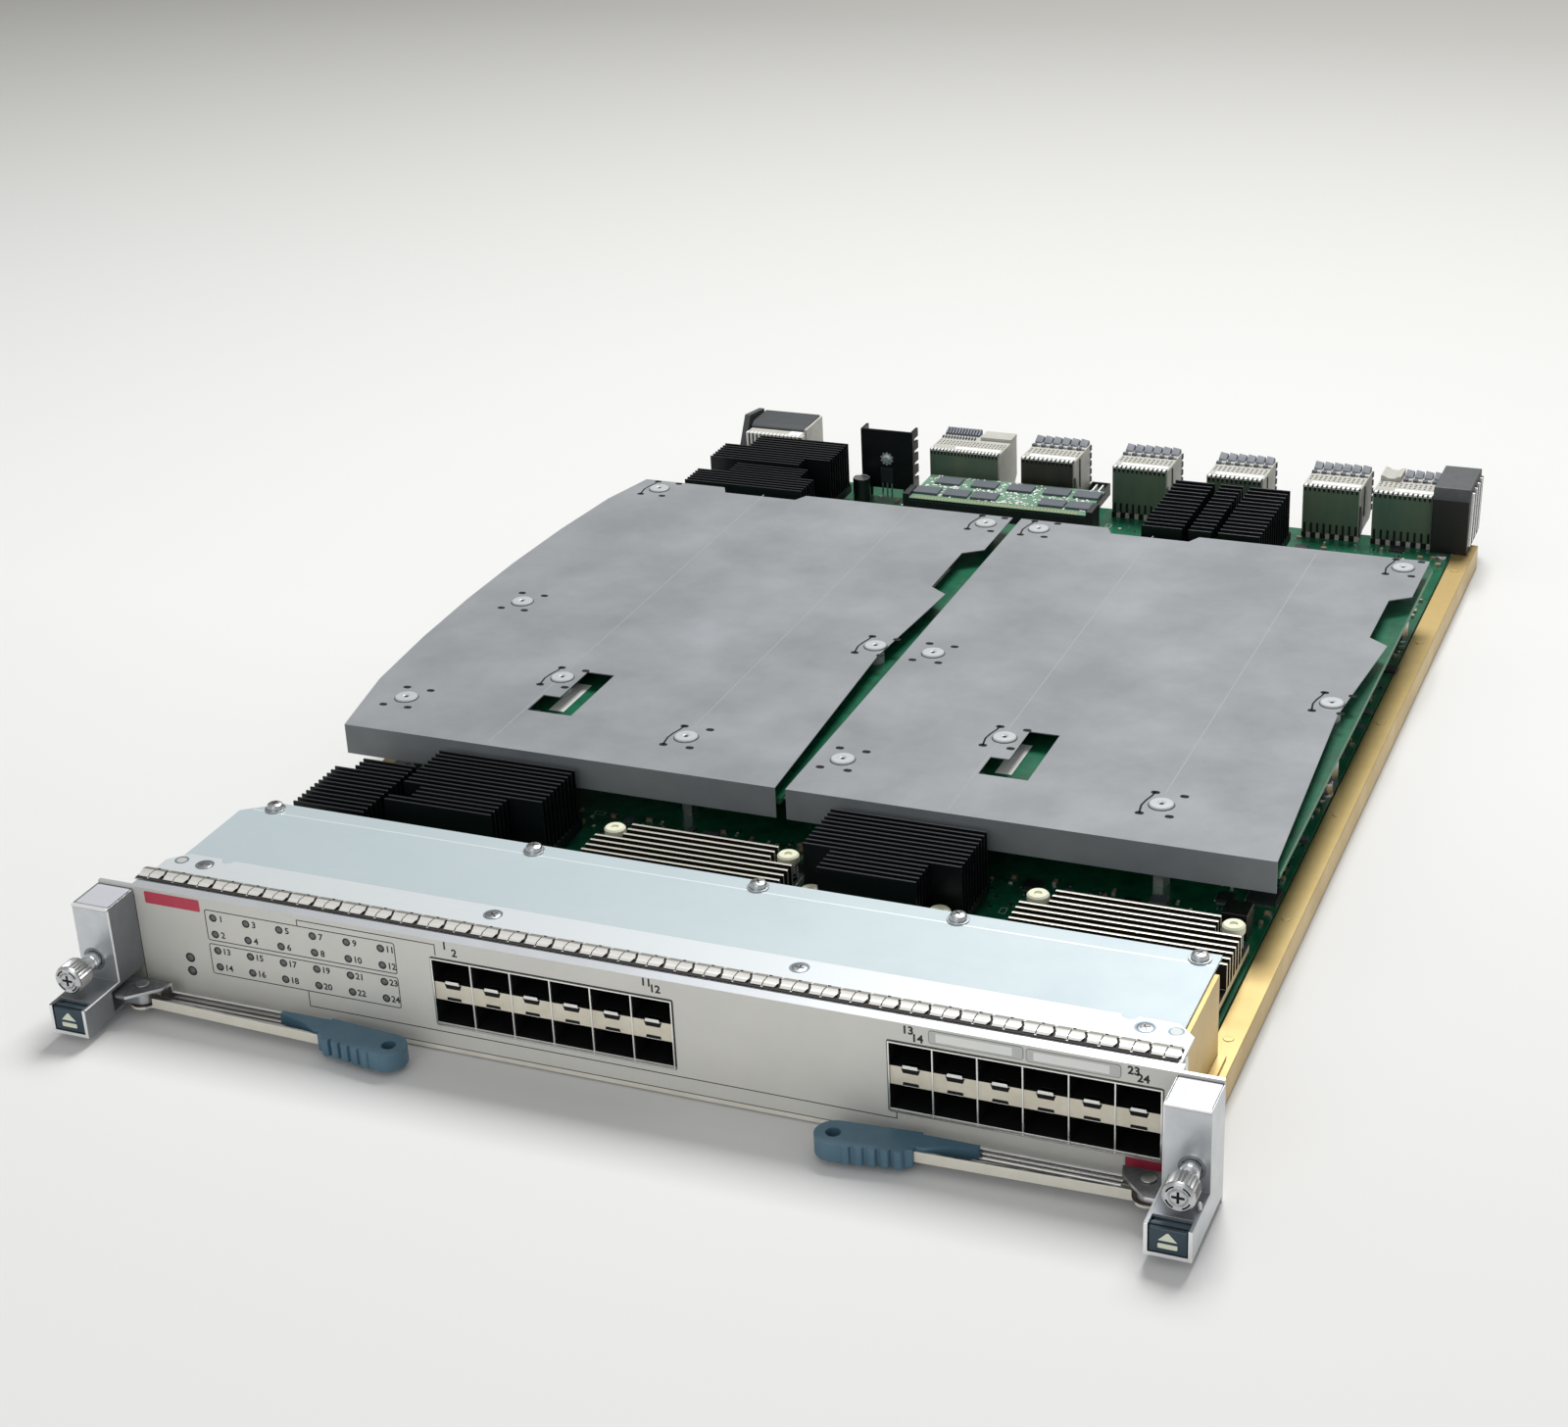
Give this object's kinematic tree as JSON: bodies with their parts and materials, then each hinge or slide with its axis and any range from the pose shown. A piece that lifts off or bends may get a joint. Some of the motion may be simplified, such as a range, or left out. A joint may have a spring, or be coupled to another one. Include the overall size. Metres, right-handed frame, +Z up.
{
  "type": "switch line card",
  "caption": "Chassis switch line card: a tray-mounted board with stacked module ports, a faceplate with ejector levers and captive screws, and rear backplane connectors.",
  "frame": {"origin": "on the centre line, on the base plane, at the faceplate's rear (seating) face, on the underside of its bottom flange", "axes": "+Y into the chassis along the card's length, +X to the right seen from the front, +Z up through its thickness"},
  "size_m": [0.3892, 0.556, 0.0436],
  "materials": {
    "front_panel": "satin silver-grey powder coat",
    "bright_metal": "bright nickel-plated steel",
    "gold_metal": "pale gold passivated sheet",
    "cover_metal": "matte pale blue-grey zinc finish",
    "housing": "satin die casting",
    "steel": "plain",
    "board": "green solder mask",
    "sheet": "translucent grey insulating film",
    "black_heatsink": "black anodised",
    "bare_heatsink": "clear aluminium",
    "dark_plastic": "matte",
    "blue_plastic": "moulded, slightly soft",
    "cream_plastic": "moulded",
    "connector_plastic": "warm grey moulding",
    "beige_metal": "tinned springs",
    "light_pipe": "smoked"
  },
  "bodies": {
    "card": {"backplane_connectors": "connector_plastic", "board_standoffs": "steel", "capacitor_and_inductor": "dark_plastic", "carrier_tray": "gold_metal", "chips": "dark_plastic", "connector_guides": "dark_plastic", "cover_flat_screws": "steel", "cover_pan_screws": "steel", "cover_posts": "steel", "cover_studs": "steel", "emi_finger_strip": "bright_metal", "faceplate": "front_panel", "forwarding_posts": "steel", "front_centre_heatsink": "black_heatsink", "front_left_heatsinks": "black_heatsink", "front_strip": "bright_metal", "left_button_spring": "steel", "left_captive_screw_spring": "steel", "left_ejector_housing": "housing", "left_forwarding_board": "board", "left_insulating_cover": "sheet", "left_phy_heatsink": "bare_heatsink", "left_port_cage": "bright_metal", "left_port_connectors": "dark_plastic", "left_port_dividers": "bright_metal", "left_port_separators": "beige_metal", "main_board": "board", "memory_module": "board", "memory_socket": "dark_plastic", "push_pin_springs": "steel", "push_pins": "cream_plastic", "rear_centre_heatsink": "black_heatsink", "rear_left_heatsinks": "black_heatsink", "regulator_heatsink": "black_heatsink", "right_button_spring": "steel", "right_captive_screw_spring": "steel", "right_ejector_housing": "housing", "right_forwarding_board": "board", "right_insulating_cover": "sheet", "right_phy_heatsink": "bare_heatsink", "right_port_cage": "bright_metal", "right_port_connectors": "dark_plastic", "right_port_dividers": "bright_metal", "right_port_separators": "beige_metal", "side_brackets": "gold_metal", "status_light_pipes": "light_pipe", "top_cover": "cover_metal"},
    "left_lever": {"left_lever_arm": "bright_metal", "left_lever_handle": "blue_plastic", "left_lever_pivot_pin": "steel"},
    "left_button": {"left_eject_button": "dark_plastic"},
    "left_collar": {"left_captive_screw_collar": "steel"},
    "left_screw": {"left_captive_screw": "bright_metal"},
    "right_lever": {"right_lever_arm": "bright_metal", "right_lever_handle": "blue_plastic", "right_lever_pivot_pin": "steel"},
    "right_button": {"right_eject_button": "dark_plastic"},
    "right_collar": {"right_captive_screw_collar": "steel"},
    "right_screw": {"right_captive_screw": "bright_metal"}
  },
  "joints": [
    {"name": "left_lever_swing", "type": "hinge", "parent": "card", "child": "left_lever", "pos_m": [-0.175, -0.0115, 0.004], "axis": [0, 0, -1], "range_deg": [0, 50]},
    {"name": "left_button_press", "type": "slide", "parent": "card", "child": "left_button", "axis": [0, 1, 0], "range_m": [0, 0.0025], "stiffness_N_per_m": 500, "springref_m": -0.001, "deforming": ["left_button_spring"]},
    {"name": "left_screw_travel", "type": "slide", "parent": "card", "child": "left_collar", "axis": [0, 1, 0], "range_m": [0, 0.006], "stiffness_N_per_m": 400, "springref_m": -0.002, "deforming": ["left_captive_screw_spring"]},
    {"name": "left_screw_turn", "type": "hinge", "parent": "left_collar", "child": "left_screw", "pos_m": [-0.189, -0.0139, 0.0205], "axis": [0, 1, 0], "continuous": true},
    {"name": "right_lever_swing", "type": "hinge", "parent": "card", "child": "right_lever", "pos_m": [0.175, -0.0115, 0.004], "axis": [0, 0, 1], "range_deg": [0, 50]},
    {"name": "right_button_press", "type": "slide", "parent": "card", "child": "right_button", "axis": [0, 1, 0], "range_m": [0, 0.0025], "stiffness_N_per_m": 500, "springref_m": -0.001, "deforming": ["right_button_spring"]},
    {"name": "right_screw_travel", "type": "slide", "parent": "card", "child": "right_collar", "axis": [0, 1, 0], "range_m": [0, 0.006], "stiffness_N_per_m": 400, "springref_m": -0.002, "deforming": ["right_captive_screw_spring"]},
    {"name": "right_screw_turn", "type": "hinge", "parent": "right_collar", "child": "right_screw", "pos_m": [0.189, -0.0139, 0.0205], "axis": [0, 1, 0], "continuous": true}
  ]
}
